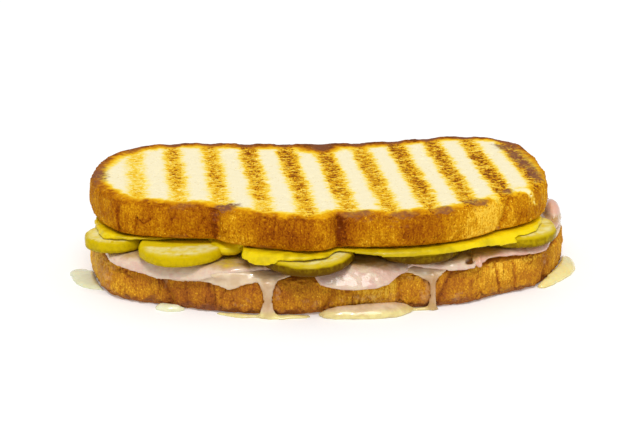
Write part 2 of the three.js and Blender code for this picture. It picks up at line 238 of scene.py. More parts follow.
def smoothstep(low: float, high: float, value: np.ndarray) -> np.ndarray:
    """Returns values eased from 0 at low to 1 at high, which may lie below low."""
    share = np.clip((value - low) / (high - low), 0.0, 1.0)
    return share * share * (3.0 - 2.0 * share)


def bell(value: np.ndarray, width: float) -> np.ndarray:
    """Returns a bell curve of height 1 round zero, with the given width."""
    return np.exp(-((value / width) ** 2))


def grain(points: np.ndarray, size: float, seed: int, stretch: Triple = EVEN) -> np.ndarray:
    """Returns smooth noise from about -1 to 1, with stretched lumps of the given size in millimetres."""
    scaled = points / (size * np.array(stretch)) + seed * GRAIN_STEP
    return np.array([noise.noise(Vector(row)) for row in scaled.tolist()])


def rough(points: np.ndarray, size: float, seed: int, octaves: int = 3) -> np.ndarray:
    """Returns fractal noise from about -1 to 1, its largest lumps of the given size in millimetres."""
    rows = (points / size + seed * ROUGH_STEP).tolist()
    return np.array([noise.fractal(Vector(row), FINER_FADE, FINER_RATIO, octaves) for row in rows])


def cells(points: np.ndarray, size: float, seed: int) -> np.ndarray:
    """Returns the distance to the nearest of points scattered size millimetres apart, as a share of it."""
    scaled = points / size + seed * CELL_STEP
    return np.array([noise.voronoi(Vector(row))[0][0] for row in scaled.tolist()])


def stations(x: np.ndarray, table: tuple[Station, ...]) -> np.ndarray:
    """Returns the value at each x, read between the places and values of a table."""
    places, values = zip(*table)
    return np.interp(x, places, values)


class Outline:
    """The outline of a piece seen from above, learned from its points."""

    STEPS = 360
    FINER = 8
    SOFTEN = (0.1, 0.2, 0.4, 0.2, 0.1)

    def __init__(self, points: np.ndarray, centre: tuple[float, float]) -> None:
        """Measures the outline.

        Args:
            points: the piece's points, in millimetres.
            centre: x and y that the bearings are taken from.
        """
        self.centre = np.array(centre)
        bearing, reach = self._polar(points)
        widest = np.zeros(self.STEPS)
        np.maximum.at(widest, bearing.astype(int) % self.STEPS, reach)
        padded = np.concatenate([widest[-2:], widest, widest[:2]])
        self.reach = np.convolve(padded, self.SOFTEN, "valid")
        self.tree = kdtree.KDTree(self.STEPS * self.FINER)
        for index, turn in enumerate(np.arange(0.0, 360.0, 1.0 / self.FINER)):
            rim = self._rim(np.array([turn]))[0]
            angle = math.radians(turn)
            spot = (rim * math.cos(angle), rim * math.sin(angle), 0.0)
            self.tree.insert(spot, index)
        self.tree.balance()

    def _polar(self, points: np.ndarray) -> tuple[np.ndarray, np.ndarray]:
        """Returns the bearing, 0 to 360, and the distance of each point from the centre."""
        flat = points[:, :2] - self.centre
        return np.degrees(np.arctan2(flat[:, 1], flat[:, 0])) % 360.0, np.hypot(flat[:, 0], flat[:, 1])

    def _rim(self, bearing: np.ndarray) -> np.ndarray:
        """Returns the outline's distance from the centre at each bearing."""
        steps = np.arange(self.STEPS + 1) + 0.5
        return np.interp((bearing - 0.5) % 360.0 + 0.5, steps, np.append(self.reach, self.reach[0]))

    def bearing(self, points: np.ndarray) -> np.ndarray:
        """Returns each point's bearing in degrees, 0 at the right end and 270 at the front."""
        return self._polar(points)[0]

    def inset(self, points: np.ndarray) -> np.ndarray:
        """Returns each point's distance from the outline, in millimetres."""
        flat = points[:, :2] - self.centre
        return np.array([self.tree.find((x, y, 0.0))[2] for x, y in flat.tolist()])

    def share(self, points: np.ndarray) -> np.ndarray:
        """Returns each point's distance from the centre as a share of the outline's."""
        bearing, reach = self._polar(points)
        return reach / self._rim(bearing)


# Shader work


class Shader:
    """A material under construction: each method adds one node and returns its output."""

    def __init__(self, name: str) -> None:
        """Starts a material with one Principled shader and the object's own coordinates.

        Args:
            name: the material's name.
        """
        self.material = bpy.data.materials.new(name)
        self.material.use_nodes = True
        self.tree = self.material.node_tree
        self.tree.nodes.clear()
        output = self.tree.nodes.new("ShaderNodeOutputMaterial")
        self.surface = self.tree.nodes.new("ShaderNodeBsdfPrincipled")
        self.tree.links.new(self.surface.outputs["BSDF"], output.inputs["Surface"])
        coordinates = self.tree.nodes.new("ShaderNodeTexCoord")
        self.position = coordinates.outputs["Object"]

    def set(self, **values: float | Colour) -> None:
        """Sets constant sockets of the surface.

        Args:
            values: the sockets' names, with an underscore for a space, and their values.
        """
        for name, value in values.items():
            socket = self.surface.inputs[name.replace("_", " ")]
            if socket.type == "RGBA":
                socket.default_value = (*value, 1.0)
            else:
                socket.default_value = value

    def feed(self, socket: str, output: Socket) -> None:
        """Links an output to one of the surface's sockets."""
        self.tree.links.new(output, self.surface.inputs[socket])

    def _plug(self, socket: Socket, value: object) -> None:
        """Links a value to a socket if it is an output, and sets it otherwise.

        Args:
            socket: where the value goes.
            value: an output, a number or a colour.
        """
        if isinstance(value, Socket):
            self.tree.links.new(value, socket)
        elif isinstance(value, tuple) and socket.type == "RGBA":
            socket.default_value = (*value, 1.0)
        else:
            socket.default_value = value

    def _add(
        self, kind: str, output: str, *values: object, setting: Setting | None = None, **sockets: object
    ) -> Socket:
        """Adds a node.

        Args:
            kind: its type, without the words that all types start with.
            output: the name of the output that is wanted.
            values: what goes into its first sockets, in order.
            setting: one of its properties, and what it is set to.
            sockets: the names of further sockets and what goes into them.

        Returns:
            The output.
        """
        node = self.tree.nodes.new(f"ShaderNode{kind}")
        if setting is not None:
            setattr(node, *setting)
        for place, value in enumerate(values):
            self._plug(node.inputs[place], value)
        for name, value in sockets.items():
            self._plug(node.inputs[name], value)
        return node.outputs[output]

    def place(self, size: float, seed: int, stretch: Triple = EVEN) -> Socket:
        """Returns coordinates in which a lump of size millimetres is one unit, shifted by the seed."""
        shift, scale = np.multiply(SHADER_STEP, seed), 1.0 / np.multiply(stretch, size * MM)
        return self._add("Mapping", "Vector", self.position, Location=shift, Scale=scale)

    def noise(
        self,
        size: float,
        seed: int,
        detail: float = 2.0,
        roughness: float = 0.5,
        stretch: Triple = EVEN,
        curl: float = 0.0,
    ) -> Socket:
        """Returns cloudy noise from 0 to 1, with lumps of the given size in millimetres."""
        sockets = {"Scale": 1.0, "Detail": detail, "Roughness": roughness, "Distortion": curl}
        return self._add("TexNoise", "Fac", self.place(size, seed, stretch), **sockets)

    def spots(self, size: float, seed: int) -> Socket:
        """Returns the distance to points scattered size millimetres apart, as a share of it."""
        return self._add("TexVoronoi", "Distance", self.place(size, seed), Scale=1.0)

    def attribute(self, name: str) -> Socket:
        """Returns a painted attribute."""
        return self._add("Attribute", "Fac", setting=("attribute_name", name))

    def math(self, operation: str, *numbers: object) -> Socket:
        """Returns what a Math node's operation makes of the numbers."""
        return self._add("Math", "Value", *numbers, setting=("operation", operation))

    def span(self, value: object, low: float, high: float, start: float = 0.0, end: float = 1.0) -> Socket:
        """Returns the number eased from start at low to end at high, which may lie below low."""
        eased = ("interpolation_type", "SMOOTHSTEP")
        return self._add("MapRange", "Result", value, low, high, start, end, setting=eased)

    def vary(self, value: object, source: Socket, *limits: float) -> Socket:
        """Adds to a value what span makes of a source within the limits."""
        return self.math("ADD", value, self.span(source, *limits))

    def scale(self, value: object, source: Socket, *limits: float) -> Socket:
        """Multiplies a value by what span makes of a source within the limits."""
        return self.math("MULTIPLY", value, self.span(source, *limits))

    def ramp(self, value: object, stops: tuple[Stop, ...]) -> Socket:
        """Turns a number into a colour.

        Args:
            value: the number.
            stops: the colours and where they lie.

        Returns:
            The colour.
        """
        node = self.tree.nodes.new("ShaderNodeValToRGB")
        self._plug(node.inputs["Fac"], value)
        elements = node.color_ramp.elements
        while len(elements) < len(stops):
            elements.new(0.5)
        for element, (place, colour) in zip(elements, stops):
            element.position = place
            element.color = (*colour, 1.0)
        return node.outputs["Color"]

    def mix(self, share: object, first: object, second: object) -> Socket:
        """Mixes two colours.

        Args:
            share: how much of the second one there is.
            first: an output or a colour.
            second: an output or a colour.

        Returns:
            The mixed colour.
        """
        node = self.tree.nodes.new("ShaderNodeMix")
        node.data_type = "RGBA"
        self._plug(node.inputs["Factor"], share)
        colours = [socket for socket in node.inputs if socket.type == "RGBA"]
        self._plug(colours[0], first)
        self._plug(colours[1], second)
        return [socket for socket in node.outputs if socket.type == "RGBA"][0]

    def bump(self, height: Socket, depth: float, strength: float, below: Socket | None = None) -> Socket:
        """Returns the normal of fine relief, its depth in millimetres, laid over the relief below it."""
        sockets = {"Strength": strength, "Distance": depth * MM, "Height": height}
        return self._add("Bump", "Normal", **sockets, **({"Normal": below} if below else {}))


# Finishes


@dataclass(frozen=True)
class ToastedBread:
    """Cream crumb that browns through gold to a dark scorch, inside a golden brown crust."""

    crumb: tuple[Stop, ...] = (
        (0.0, (0.930, 0.835, 0.570)),
        (0.08, (0.940, 0.800, 0.400)),
        (0.20, (0.940, 0.700, 0.090)),
        (0.38, (0.880, 0.515, 0.010)),
        (0.56, (0.710, 0.320, 0.002)),
        (0.78, (0.420, 0.125, 0.001)),
        (1.0, (0.170, 0.044, 0.001)),
    )
    crust: tuple[Stop, ...] = (
        (0.0, (0.160, 0.030, 0.0012)),
        (0.25, (0.300, 0.075, 0.0012)),
        (0.5, (0.440, 0.150, 0.0015)),
        (0.75, (0.620, 0.270, 0.003)),
        (0.92, (0.850, 0.460, 0.018)),
        (1.0, (0.930, 0.570, 0.050)),
    )
    scorch: Colour = (0.225, 0.085, 0.042)
    film: Colour = (0.620, 0.330, 0.140)
    pore: Colour = (0.680, 0.430, 0.090)

    def material(self) -> bpy.types.Material:
        """Makes the bread's material, which reads the slices' painted attributes.

        Returns:
            The material.
        """
        shader = Shader("toasted_bread")
        curls = shader.noise(1.9, seed=2, detail=1.0, curl=0.9)
        fine = shader.noise(0.55, seed=3, detail=2.0, roughness=0.6)
        face = self._face(shader, curls, fine)
        colour = shader.mix(shader.attribute("crust"), face, self._shell(shader))
        colour = shader.mix(shader.attribute("film"), colour, self.film)
        soot = shader.noise(1.1, seed=10, detail=3.0, roughness=0.6)
        burnt = shader.scale(shader.attribute("scorch"), soot, 0.34, 0.56, 0.50, 1.0)
        shader.feed("Base Color", shader.mix(burnt, colour, self.scorch))
        wet = shader.attribute("wet")
        beads = shader.scale(wet, shader.noise(1.6, seed=13, detail=1.0), 0.50, 0.62)
        shader.feed("Roughness", shader.span(wet, 0.0, 1.0, 0.70, 0.45))
        shader.feed("Coat Weight", shader.span(beads, 0.05, 1.0, 0.0, 0.8))
        shader.set(Coat_Roughness=0.08, Specular_IOR_Level=0.04)
        relief = shader.bump(fine, 0.20, 0.9)
        shader.feed("Normal", shader.bump(curls, 0.25, 0.7, relief))
        return shader.material

    def _face(self, shader: Shader, curls: Socket, fine: Socket) -> Socket:
        """Colours the crumb: it browns as it toasts, in fringes and in thin dark curls.

        Args:
            shader: the bread's material.
            curls: the noise whose middle runs along the curls.
            fine: the noise of the crumb's grain.

        Returns:
            The crumb's colour.
        """
        toast = shader.attribute("toast")
        fringe = shader.noise(1.3, seed=1, detail=4.0, roughness=0.66, stretch=(1.4, 1.0, 1.0))
        ridge = shader.math("ABSOLUTE", shader.math("SUBTRACT", curls, 0.5))
        worms = shader.scale(shader.span(toast, 0.15, 0.75, 0.0, 0.50), ridge, 0.060, 0.0)
        level = shader.math("ADD", shader.scale(toast, fringe, 0.34, 0.68, 0.24, 1.04), worms)
        rim = shader.scale(shader.attribute("ring"), fringe, 0.3, 0.7, 0.80, 1.12)
        level = shader.vary(shader.math("MAXIMUM", level, rim), fine, 0.45, 0.75, 0.0, 0.05)
        pores = shader.span(shader.spots(2.0, seed=4), 0.05, 0.20, 0.50, 0.0)
        return shader.mix(pores, shader.ramp(level, self.crumb), self.pore)

    def _shell(self, shader: Shader) -> Socket:
        """Colours the crust: sandy, with upright streaks, pale flecks and dark pits.

        Args:
            shader: the bread's material.

        Returns:
            The crust's colour.
        """
        sand = shader.noise(0.50, seed=5, detail=2.0, roughness=0.65, stretch=(1.0, 1.0, 1.5))
        streaks = shader.noise(0.75, seed=7, detail=2.0, stretch=(1.0, 1.0, 7.0))
        broad = shader.noise(6.0, seed=6, detail=3.0)
        tone = shader.vary(shader.attribute("tone"), sand, 0.30, 0.70, -0.17, 0.17)
        tone = shader.vary(tone, streaks, 0.3, 0.7, -0.08, 0.08)
        tone = shader.vary(tone, broad, 0.3, 0.7, -0.10, 0.10)
        tone = shader.vary(tone, shader.spots(1.3, seed=8), 0.08, 0.24, 0.28, 0.0)
        tone = shader.vary(tone, shader.spots(1.9, seed=9), 0.08, 0.22, -0.24, 0.0)
        return shader.ramp(tone, self.crust)


@dataclass(frozen=True)
class PickleFlesh:
    """A wet pickle chip: pale seeded middle, yellow-green flesh, and a darker skin with painted shade."""

    heart: Colour = (0.82, 0.76, 0.34)
    flesh: Colour = (0.76, 0.60, 0.06)
    seed: Colour = (0.88, 0.82, 0.42)
    skin_light: Colour = (0.60, 0.43, 0.0012)
    # the skin's colour under painted shade
    skin_dark: Colour = (0.12, 0.055, 0.0006)
    mustard: Colour = (0.72, 0.55, 0.006)

    def material(self) -> bpy.types.Material:
        """Makes the chips' material, which reads their painted attributes.

        Returns:
            The material.
        """
        shader = Shader("pickle_flesh")
        cloudy = shader.noise(3.0, seed=11, detail=3.0)
        mottle = shader.noise(1.3, seed=12, detail=2.0, roughness=0.6)
        heart = shader.mix(shader.span(cloudy, 0.3, 0.7), self.heart, self.flesh)
        heart = shader.mix(shader.attribute("seeds"), heart, self.seed)
        flesh = shader.mix(shader.attribute("rind"), heart, self.skin_light)
        flesh = shader.mix(shader.attribute("smear"), flesh, self.mustard)
        # Painted shade: each chip's own amount, darker towards its bottom, turns the skin toward the shaded
        # skin colour.
        shade = shader.vary(shader.attribute("depth"), mottle, 0.35, 0.65, -0.10, 0.10)
        skin = shader.mix(shader.span(shade, 0.0, 1.0), self.skin_light, self.skin_dark)
        shader.feed("Base Color", shader.mix(shader.attribute("skin"), flesh, skin))
        shader.set(Roughness=0.22, Specular_IOR_Level=0.04)
        shader.set(Subsurface_Weight=0.10, Subsurface_Radius=(0.9, 0.7, 0.02), Subsurface_Scale=0.0015)
        shader.feed("Normal", shader.bump(mottle, 0.12, 0.6))
        return shader.material


@dataclass(frozen=True)
class HamMeat:
    """Moist cooked ham: pale and cloudy pink, mustard stains, yellow juice with painted shade, painted
    shade in hollows.
    """

    name: str = "ham_meat"
    pale: Colour = (0.73, 0.57, 0.42)
    pink: Colour = (0.665, 0.440, 0.345)
    # the colour of a juice stain and of painted shade under the pickles
    juice: Colour = (0.46, 0.26, 0.035)
    mustard: Colour = (0.76, 0.58, 0.01)
    # the colour of painted shade in the hollows
    deep: Colour = (0.13, 0.035, 0.006)

    def material(self) -> bpy.types.Material:
        """Makes the ham's material, which reads the sheets' painted attributes.

        Returns:
            The material.
        """
        shader = Shader(self.name)
        cloudy = shader.noise(3.4, seed=21, detail=4.0, roughness=0.6)
        fibres = shader.noise(0.8, seed=22, detail=2.0, stretch=(3.0, 1.0, 1.0))
        blend = shader.vary(shader.attribute("pinkness"), cloudy, 0.3, 0.7, -0.5, 0.5)
        blend = shader.vary(blend, fibres, 0.3, 0.7, -0.15, 0.15)
        colour = shader.mix(shader.span(blend, 0.0, 1.0), self.pale, self.pink)
        # A juice stain and painted shade under the pickles, in one yellow-brown colour.
        stained = shader.scale(shader.attribute("juice"), cloudy, 0.35, 0.6, 0.6, 1.0)
        colour = shader.mix(stained, colour, self.juice)
        colour = shader.mix(shader.attribute("smear"), colour, self.mustard)
        # Painted shade in the hollows: a pocket in the strip and the gap under the end sheet.
        shader.feed("Base Color", shader.mix(shader.attribute("crease"), colour, self.deep))
        shader.set(Roughness=0.30, Specular_IOR_Level=0.25, Coat_Weight=0.9, Coat_Roughness=0.05)
        shader.set(Subsurface_Weight=0.20, Subsurface_Radius=(1.0, 0.45, 0.25), Subsurface_Scale=0.0015)
        dimples = shader.noise(1.0, seed=23, detail=3.0)
        relief = shader.bump(dimples, 0.28, 0.8, shader.bump(fibres, 0.05, 0.5))
        shader.feed("Normal", shader.bump(cloudy, 0.30, 0.6, relief))
        return shader.material


@dataclass(frozen=True)
class MeltedCheese:
    """Melted cheese: glossy, yellow where it pools, and brown where it is a thin film on the crust."""

    name: str
    cream: Colour
    pooled: Colour
    thin: Colour = (0.43, 0.215, 0.060)

    def material(self) -> bpy.types.Material:
        """Makes the cheese's material, which reads how thin it is and where it has pooled.

        Returns:
            The material.
        """
        shader = Shader(self.name)
        cloudy = shader.noise(4.0, seed=31, detail=3.0)
        dimples = shader.noise(1.4, seed=32, detail=2.0)
        colour = shader.mix(shader.attribute("pooled"), self.cream, self.pooled)
        colour = shader.mix(shader.span(cloudy, 0.35, 0.65, 0.0, 0.35), colour, self.thin)
        filmy = shader.scale(shader.attribute("thinness"), cloudy, 0.3, 0.6, 0.7, 1.0)
        shader.feed("Base Color", shader.mix(filmy, colour, self.thin))
        shader.set(Roughness=0.25, Specular_IOR_Level=0.30, Coat_Weight=0.7, Coat_Roughness=0.06)
        shader.set(Subsurface_Weight=0.30, Subsurface_Radius=(1.0, 0.7, 0.3), Subsurface_Scale=0.0025)
        shader.feed("Normal", shader.bump(cloudy, 0.30, 0.4, shader.bump(dimples, 0.12, 0.5)))
        return shader.material


@dataclass(frozen=True)
class Mustard:
    """Bright yellow mustard, smooth and wet, with painted shade in stretches along the slice."""

    bright: Colour = (0.86, 0.65, 0.004)
    # the colour of painted shade on the mustard
    deep: Colour = (0.50, 0.36, 0.002)

    def material(self) -> bpy.types.Material:
        """Makes the mustard's material, which reads how much painted shade lies on it.

        Returns:
            The material.
        """
        shader = Shader("mustard")
        cloudy = shader.noise(3.5, seed=41, detail=3.0)
        # Painted shade, varied by cloudy noise, turns the bright yellow toward the shaded colour.
        smear = shader.vary(shader.attribute("smear"), cloudy, 0.35, 0.7, -0.15, 0.25)
        shader.feed("Base Color", shader.mix(shader.span(smear, 0.0, 1.0), self.bright, self.deep))
        shader.set(Roughness=0.30, Specular_IOR_Level=0.12, Coat_Weight=0.05, Coat_Roughness=0.08)
        shader.set(Subsurface_Weight=0.15, Subsurface_Radius=(1.0, 0.7, 0.02), Subsurface_Scale=0.0015)
        shader.feed("Normal", shader.bump(cloudy, 0.25, 0.4))
        return shader.material


# Pieces


class Piece:
    """What every piece does: it makes a skin of its solid, works it over and stands it in for that."""

    node: str
    name: str
    slot: str
    voxel: float
    relax: int
    dabs: tuple[Lump, ...] = ()

    def build(self, origin: np.ndarray, finish: bpy.types.Material) -> None:
        """Makes the piece.

        Args:
            origin: the slices' middle, in millimetres.
            finish: its material.
        """
        skin = Skin(self.node, self.voxel, self.relax, origin, self.dabs)
        self.work(skin)
        skin.finish(self.name, self.slot, finish)

    def work(self, skin: Skin) -> None:
        """Shapes and paints the skin, in each kind of piece in its own way."""
        raise NotImplementedError


@dataclass
class SliceFrame:
    """Where the slices' own axes lie in the part's frame."""

    upper_left: float = -82.1
    upper_front: float = -49.6

    def origin(self) -> np.ndarray:
        """Returns the place of the slices' middle, in millimetres, from the upper slice's box."""
        low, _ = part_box("bread_top")
        return np.array([low.x / MM - self.upper_left, low.y / MM - self.upper_front, 0.0])


@dataclass(frozen=True)
class Crease:
    """A fold in the front crust: where it runs, how wide and deep it is, and its painted shade.

    It crosses x at height z and moves sideways by lean for each millimetre up. Its shade fades out over
    the two widths of fade, to the left and to the right. It lies between the heights low and high, and
    each end of it runs out over twice the length of end.
    """

    x: float
    width: float
    depth: float
    # how strong the painted shade along the fold is
    dark: float = 0.5
    lean: float = 0.0
    z: float = 0.0
    fade: tuple[float, float] = (0.8, 0.8)
    low: float = -9.0
    high: float = 99.0
    end: float = 0.6


@dataclass(frozen=True)
class Patch:
    """A stain or a hollow round a place: x along the slice, and how far up the front or back on the top."""

    x: float
    up: float
    half_width: float
    half_height: float
    amount: float = 1.0
    lean: float = 0.0


class Seen(Enum):
    """The view that marks are laid out in, as the axis that is up in it."""

    TOP = 1
    FRONT = 2


def patches(
    place: np.ndarray, marks: tuple[Patch, ...], fray: float, seed: int, seen: Seen = Seen.FRONT
) -> np.ndarray:
    """Lays marks with frayed edges on the front or on the top of a piece.

    Args:
        place: the piece's points, from the slices' middle.
        marks: the marks.
        fray: how ragged their edges are.
        seed: which noise frays them.
        seen: the view that they are laid out in.

    Returns:
        How much of a mark lies at each point.
    """
    total = np.zeros(len(place))
    if not marks:
        return total
    frayed = fray * rough(place, FRAY, seed)
    for mark in marks:
        up = place[:, seen.value] - mark.up
        across = (place[:, 0] - mark.x - mark.lean * up) / mark.half_width
        away = np.hypot(across, up / mark.half_height) + frayed
        total = np.maximum(total, mark.amount * smoothstep(MARK_END, MARK_CORE, away))
    return total if seen is Seen.TOP else total * smoothstep(FRONT_FADE, 0.0, place[:, 1])


class Grilled(Enum):
    """The face of a slice that lay on the grill, as the way it looks along z."""

    TOP = 1
    UNDERSIDE = -1


@dataclass(frozen=True)
class BreadRelief:
    """How high or deep each unevenness of the bread is, in millimetres."""

    wrinkles: float = 0.26
    pimples: float = 0.14
    swells: float = 0.34
    lumps: float = 0.22
    pits: float = 0.32
    cracks: float = 0.60
    crumbs: float = 0.13
    pores: float = 0.32
    holes: float = 0.50
    ragged: float = 0.30


@dataclass
class BreadSlice(Piece):
    """A slice of farmhouse bread, with sizes in millimetres.

    Tones and chars run along x, and rings, the width of the toasted rim, and their heats run round the
    slice in degrees. Heats and back_scorch have one number for each grill stripe, from the left. The
    facings are limits of how far a point's normal looks along z.
    """

    node: str
    name: str
    grilled: Grilled
    creases: tuple[Crease, ...]
    tones: tuple[Station, ...]
    rings: tuple[Station, ...]
    ring_heats: tuple[Station, ...]
    back_scorch: tuple[float, ...]
    seed: int
    slot: str = "bread"
    chars: tuple[Station, ...] = ((0.0, 0.0),)
    spots: tuple[Patch, ...] = ()
    scorches: tuple[Patch, ...] = ()
    torn: tuple[Patch, ...] = ()
    films: tuple[Patch, ...] = ()
    glazes: tuple[Patch, ...] = ()
    relief: BreadRelief = BreadRelief()
    voxel: float = 1.15
    relax: int = 5
    kept: float = 0.64
    hidden_inset: float = 9.0
    hidden_facing: float = -0.9
    side_facing: float = 0.93
    grilled_facing: float = 0.85
    finest: float = 0.7
    back_reach: float = 7.5
    cracked: float = 0.5
    lift: float = 0.0
    greasy: float = 0.0
    damp: float = 0.06
    grill_first: float = -79.4
    grill_pitch: float = 13.75
    grill_half: float = 3.3
    grill_lean: float = math.radians(1.5)
    front_heats: tuple[float, ...] = (0.50, 0.46, 0.52, 0.50, 0.56, 0.68, 0.74, 0.64, 0.82, 0.90, 1.02, 1.0)
    back_heats: tuple[float, ...] = (0.50, 0.42, 0.70, 0.70, 0.90, 0.98, 0.94, 0.82, 1.02, 1.02, 1.05, 1.1)

    def work(self, skin: Skin) -> None:
        """Shapes and paints the slice: fine points where it shows, relief, crust, toasting and stains.

        Args:
            skin: the slice's skin.
        """
        middle = skin.points[:, 2].mean()
        outline = Outline(skin.points, (skin.origin[0], skin.origin[1]))
        buried = skin.normals[:, 2] * self.grilled.value < self.hidden_facing
        skin.thin(buried & (outline.inset(skin.points) > self.hidden_inset), self.kept)
        skin.refine(np.abs(skin.normals[:, 2]) < self.side_facing, 2, 0.0)
        shown = skin.normals[:, 2] * self.grilled.value > self.grilled_facing
        skin.refine(shown, 1, self.voxel * self.finest)
        self._shape(skin, outline, middle)
        ragged = rough(skin.place, 3.0, self.seed + 7)
        torn = patches(skin.place, self.torn, 0.5, self.seed + 24, Seen.TOP)
        torn = torn * smoothstep(0.0, 0.25, skin.normals[:, 2])
        self._crust(skin, middle, ragged, torn)
        self._toast(skin, outline, ragged, torn)
        self._stains(skin)

    def _creases(self, place: np.ndarray) -> tuple[np.ndarray, np.ndarray]:
        """Folds the front crust.

        Args:
            place: the slice's points, from the slices' middle.

        Returns:
            How deep the folds cut at each point, and how much painted shade lies along them.
        """
        depth = np.zeros(len(place))
        dark = np.zeros(len(place))
        wander = 0.7 * grain(place, 4.0, self.seed + 3) + 0.3 * grain(place, 1.5, self.seed + 14)
        for crease in self.creases:
            off = place[:, 0] + wander - crease.x - crease.lean * (place[:, 2] - crease.z)
            inside = smoothstep(crease.low - crease.end, crease.low + crease.end, place[:, 2])
            inside = inside * smoothstep(crease.high + crease.end, crease.high - crease.end, place[:, 2])
            # painted shade beside each fold, fading out to its left and right
            shade = np.exp(-np.abs(off) / np.where(off < 0.0, *crease.fade))
            depth += crease.depth * inside * bell(off, crease.width)
            dark = np.maximum(dark, crease.dark * inside * shade)
        front = smoothstep(4.0, -8.0, place[:, 1])
        return depth * front, dark * front

    def _cracks(self, place: np.ndarray) -> np.ndarray:
        """Cracks the crust here and there, in fine upright lines.

        Args:
            place: the slice's points, from the slices' middle.

        Returns:
            How much of a crack lies at each point.
        """
        thin = smoothstep(0.08, 0.0, np.abs(grain(place, 3.4, self.seed + 25, (1.0, 1.0, 2.4))))
        sparse = smoothstep(-0.15, 0.25, grain(place, 7.0, self.seed + 26))
        return self.cracked * thin * sparse

    def _shape(self, skin: Skin, outline: Outline, middle: float) -> None:
        """Gives crust and crumb their relief, and lifts the lower rim here and there.

        Args:
            skin: the slice's skin.
            outline: the slice's outline.
            middle: the height of the slice's middle.
        """
        place, seed, relief = skin.place, self.seed, self.relief
        side = 1.0 - smoothstep(0.45, 0.85, np.abs(skin.normals[:, 2]))
        wrinkles = relief.wrinkles * rough(place * [1.0, 1.0, 0.35], 2.0, seed)
        wrinkles += relief.pimples * grain(place, 0.9, seed + 1)
        lumps = relief.swells * grain(place, 9.0, seed + 2, (1.0, 1.0, 2.0))
        lumps = (lumps + relief.lumps * grain(place, 3.6, seed + 15)) * (1.0 + 0.7 * self.cracked)
        pits = relief.pits * smoothstep(0.26, 0.10, cells(place, 2.2, seed + 16))
        crust = wrinkles + lumps - pits - relief.cracks * self._cracks(place) - self._creases(place)[0]
        pores = relief.pores * smoothstep(0.30, 0.12, cells(place, 2.7, seed + 5))
        pores += relief.holes * smoothstep(0.20, 0.05, cells(place, 6.5, seed + 6))
        crumb = relief.crumbs * rough(place, 2.0, seed + 4) - pores
        rims = bell(np.abs(place[:, 2] - middle) - 5.2, 1.6)
        ragged = relief.ragged * rough(place, 1.6, seed + 17) * rims
        inset = outline.inset(skin.points)
        crust += ragged * (1.0 + self.cracked)
        skin.push(side * crust + (1.0 - side) * crumb * smoothstep(0.5, 2.5, inset))
        lifted = smoothstep(-0.1, 0.5, rough(place, 5.0, seed + 27, 2)) * smoothstep(3.4, 0.4, place[:, 2])
        skin.shift(np.outer(self.lift * lifted * smoothstep(4.0, 0.5, inset), (0.0, 0.0, 1.0)))

    def _crust(self, skin: Skin, middle: float, ragged: np.ndarray, torn: np.ndarray) -> None:
        """Paints where the slice is crust, how golden or brown it is, and painted shade in creases and
        cracks.

        Args:
            skin: the slice's skin.
            middle: the height of the slice's middle.
            ragged: the noise that makes edges uneven.
            torn: where the crust is torn off.
        """
        place = skin.place
        crust = 1.0 - smoothstep(0.50, 0.86, np.abs(skin.normals[:, 2]) + 0.10 * ragged)
        skin.paint("crust", crust * (1.0 - torn))
        rise = (place[:, 2] - middle) * self.grilled.value
        tone = stations(place[:, 0], self.tones) + 0.12 * grain(place, 6.0, self.seed + 11)
        tone = tone - 0.16 * smoothstep(3.0, 6.2, rise) + 0.10 * smoothstep(-2.0, -5.5, rise)
        # Painted shade: the tone darkens along the creases and in the cracks.
        skin.paint("tone", tone - 0.55 * self._creases(place)[1] - 0.34 * self._cracks(place))

    def _toast(self, skin: Skin, outline: Outline, ragged: np.ndarray, torn: np.ndarray) -> None:
        """Paints how far the crumb is toasted by the grill's ridges and round its rim, and scorched.

        Args:
            skin: the slice's skin.
            outline: the slice's outline.
            ragged: the noise that makes edges uneven.
            torn: where the crust is torn off.
        """
        place = skin.place
        across = place[:, 0] + place[:, 1] * math.tan(self.grill_lean) - self.grill_first
        number = np.clip(np.round(across / self.grill_pitch), 0, len(self.front_heats) - 1)
        off = np.abs(across - number * self.grill_pitch)
        stripe = number.astype(int)
        inset = outline.inset(skin.points)
        skin.paint("toast", self._pressed(skin, off, stripe))

        frayed = inset + 0.9 * ragged + 0.5 * rough(place, 1.5, self.seed + 18, 2)
        bearing = outline.bearing(skin.points)
        near = smoothstep(1.0, 0.25, frayed / stations(bearing, self.rings))
        uneven = 1.0 + 0.25 * grain(place, 5.0, self.seed + 12)
        skin.paint("ring", stations(bearing, self.ring_heats) * near * uneven * (1.0 - 0.9 * torn))

        core = smoothstep(self.grill_half + 1.8, self.grill_half - 1.2, off + 0.9 * ragged)
        core = core * np.array(self.back_scorch)[stripe] * smoothstep(-6.0, 6.0, place[:, 1])
        rim = smoothstep(1.0, 0.45, (inset + 0.8 * ragged) / self.back_reach)
        spots = patches(place, self.spots, 0.6, self.seed + 20, Seen.TOP)
        facing = smoothstep(0.20, 0.62, skin.normals[:, 2] * self.grilled.value)
        toe = smoothstep(3.6, 1.0, place[:, 2] + 1.6 * ragged) * smoothstep(3.5, 1.0, inset)
        toe = toe * stations(place[:, 0], self.chars)
        marks = patches(place, self.scorches, 0.45, self.seed + 13)
        skin.paint("scorch", np.maximum.reduce([np.maximum(rim * core, spots) * facing, toe, marks]))

